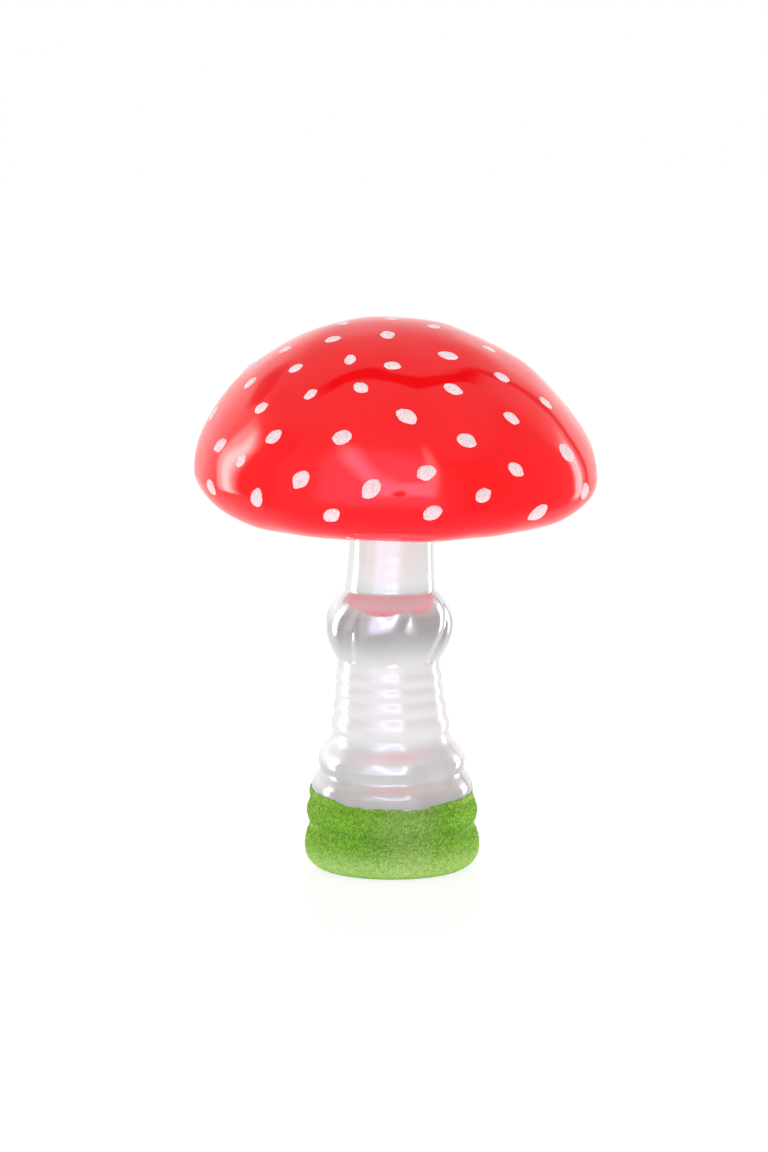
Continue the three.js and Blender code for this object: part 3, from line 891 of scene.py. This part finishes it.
def paint_floor(tree):
    """White for the camera, with a soft shadow and a faint mirror image. Matte surfaces get light from all
    but its middle, and glossy ones see the near part of it in grey, a painted shadow, and the room through
    the rest."""
    sheet = Wire(tree)
    path = tree.nodes.new("ShaderNodeLightPath")
    seen = Wire(tree, path.outputs["Is Camera Ray"])
    mirrored = Wire(tree, path.outputs["Is Glossy Ray"])
    where = sheet.node("ShaderNodeTexCoord", {}, {}, output="Object")
    before = sheet.node("ShaderNodeVectorMath", {"operation": "ADD"}, {0: where, 1: (0, NEAR_AHEAD, 0)})
    distance = sheet.node("ShaderNodeVectorMath", {"operation": "LENGTH"}, {0: where}, output="Value")
    ahead = sheet.node("ShaderNodeVectorMath", {"operation": "LENGTH"}, {0: before}, output="Value")
    white = sheet.node("ShaderNodeBsdfDiffuse", {}, {"Color": PAPER_WHITE})
    lit = added(sheet, white, glowing(sheet, TABLE_LIGHT))
    paper = mixed(sheet, distance.rising(0, TABLE_LIGHT_REACH), white, lit)
    dimmed = sheet.node("ShaderNodeBsdfDiffuse", {}, {"Color": FLOOR_SHADE})
    shine = sheet.node("ShaderNodeBsdfGlossy", {}, {"Color": WHITE, "Roughness": FLOOR_BLUR})
    bright = mixed(sheet, FLOOR_GLOSS, added(sheet, dimmed, glowing(sheet, FLOOR_GLOW)), shine)
    clear = sheet.node("ShaderNodeBsdfTransparent", {}, {})
    # Painted shadow: glossy surfaces see the floor near the object as a grey glow.
    near_shadow = mixed(sheet, ahead.rising(*NEAR_REACH), glowing(sheet, NEAR_SHADOW_LIGHT), clear)
    surface = mixed(sheet, mirrored, mixed(sheet, seen, paper, bright), near_shadow)
    tree.links.new(surface.socket, tree.nodes["Material Output"].inputs["Surface"])


def make_floor():
    deselect()
    bpy.ops.mesh.primitive_plane_add(size=FLOOR_SIZE)
    floor = bpy.context.object
    floor.name = "floor"
    material = bpy.data.materials.new("white_floor")
    material.use_nodes = True
    material.node_tree.nodes.remove(material.node_tree.nodes["Principled BSDF"])
    paint_floor(material.node_tree)
    floor.data.materials.append(material)


class Studio:
    """The room that glossy surfaces mirror, as wires that change with the direction."""

    def __init__(self, tree):
        self.sheet = Wire(tree)
        way = self.sheet.node("ShaderNodeTexCoord", {}, {}, output="Generated")
        x, y, z = (self.sheet.node("ShaderNodeSeparateXYZ", {}, {0: way}, output=axis) for axis in "XYZ")
        degrees = 180 / math.pi
        self.side = x
        self.turn = self.sheet.math("ARCTAN2", x, 0 - y) * degrees
        self.rise = self.sheet.math("ARCSINE", z) * degrees
        self.tilt = self.sheet.math("ARCTAN2", y, z) * degrees
        across = self.turn.rising(*WINDOW_LEFT) * self.turn.falling(*WINDOW_RIGHT)
        self.window = across * self.rise.rising(*WINDOW_FOOT) * self.rise.falling(*WINDOW_HEAD)

    def area(self, turns, rises, lean=0.0):
        return within(self.turn + self.rise * lean, *turns) * within(self.rise, *rises)

    def spot(self, turn_at, rise_at, turn_reach, rise_reach):
        across = (self.turn - turn_at) / turn_reach
        up = (self.rise - rise_at) / rise_reach
        return self.sheet.math("SQRT", across * across + up * up).falling(*SPOT_EDGE)

    def front(self):
        """The room in front, with the window and its frame."""
        left = self.area(*LEFT_ARM, LEFT_ARM_LEAN)
        right = self.area(*RIGHT_ARM, -RIGHT_ARM_LEAN)
        arms = self.sheet.math("MAXIMUM", left, right)
        glint = self.sheet.math("MAXIMUM", arms, self.area(*SILL))
        return ROOM_LIGHT + self.window * WINDOW_LIGHT + glint * GLINT_LIGHT

    def paper(self):
        """White paper behind, lighter towards its foot and on its left."""
        light = PAPER_LIGHT + PAPER_GLOW * self.rise.falling(*PAPER_GLOW_END)
        light = light - PAPER_FOOT_SHADE * self.rise.falling(*PAPER_FOOT)
        heights = self.rise.rising(*LEFT_GLOW_START) * self.rise.falling(*LEFT_GLOW_END)
        return light + self.side.falling(*LEFT_GLOW_SIDE) * heights * LEFT_GLOW

    def shade(self):
        """What the gap overhead, the camera, a thing on the left and the paper's edge leave of the light."""
        bent = self.tilt - self.side.rising(*GAP_BEND_SPAN) * GAP_BEND
        gap = within(bent, *GAP_TILT) * within(self.side, *GAP_SPAN)
        spots = (1 - self.spot(*CAMERA_SPOT) * CAMERA_SHADE) * (1 - self.spot(*LEFT_SPOT) * LEFT_SPOT_SHADE)
        return (1 - gap * GAP_SHADE) * spots * (1 - self.area(*PAPER_EDGE) * PAPER_EDGE_SHADE)

    def lamps(self):
        left = within(self.turn, *LEFT_LAMP) * LEFT_LAMP_SHARE + within(self.turn, *LEFT_LAMP_CORE)
        left = left * self.rise.rising(*LEFT_LAMP_FOOT) * self.rise.falling(*LEFT_LAMP_HEAD)
        return left * LEFT_LAMP_LIGHT + self.area(*RIGHT_LAMP) * RIGHT_LAMP_LIGHT

    def light(self):
        front = self.front()
        level = front + self.tilt.rising(*PAPER_TILT) * (self.paper() - front)
        right, left = (within(self.turn, *side) for side in DIM_SIDES)
        dim = (right + left) * within(self.rise, *DIM_RISE)
        level = level + dim * (DIM_LIGHT - level)
        level = level + self.rise.falling(*DEEP_RISE) * (DEEP_LIGHT - level)
        return level * self.shade() + self.lamps()


def light_studio():
    """White all round for the camera and for matte surfaces, and the studio for glossy ones."""
    world = bpy.data.worlds.new("studio")
    bpy.context.scene.world = world
    world.use_nodes = True
    tree = world.node_tree
    studio = Studio(tree)
    path = tree.nodes.new("ShaderNodeLightPath")
    glossy = Wire(tree, path.outputs["Is Glossy Ray"])
    matte = MATTE_LIGHT + Wire(tree, path.outputs["Is Camera Ray"]) * (1 - MATTE_LIGHT)
    strength = matte + glossy * (studio.light() - matte)
    tint = (studio.window * glossy).between(WHITE[:3], WINDOW_TINT)
    tree.links.new(strength.socket, tree.nodes["Background"].inputs["Strength"])
    tree.links.new(tint.socket, tree.nodes["Background"].inputs["Color"])


def place_camera():
    rise = math.radians(EYE_ELEVATION)
    eye = AIM + EYE_DISTANCE * Vector((0, -math.cos(rise), math.sin(rise)))
    turn = (AIM - eye).to_track_quat("-Z", "Y").to_euler()
    bpy.ops.object.camera_add(location=eye, rotation=turn)
    camera = bpy.context.object
    camera.data.lens = LENS
    bpy.context.scene.camera = camera


cap = make_cap(red_lacquer())
make_stem(silvered_glass())
make_coat(green_glitter())
make_dots(cap, white_glitter())
for node, material in (("glue_ring", clear_glue()), ("foot_plug", cork())):
    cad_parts[node].data.materials.clear()
    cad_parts[node].data.materials.append(material)
make_floor()
light_studio()
place_camera()
bpy.context.scene.view_settings.view_transform = "Standard"
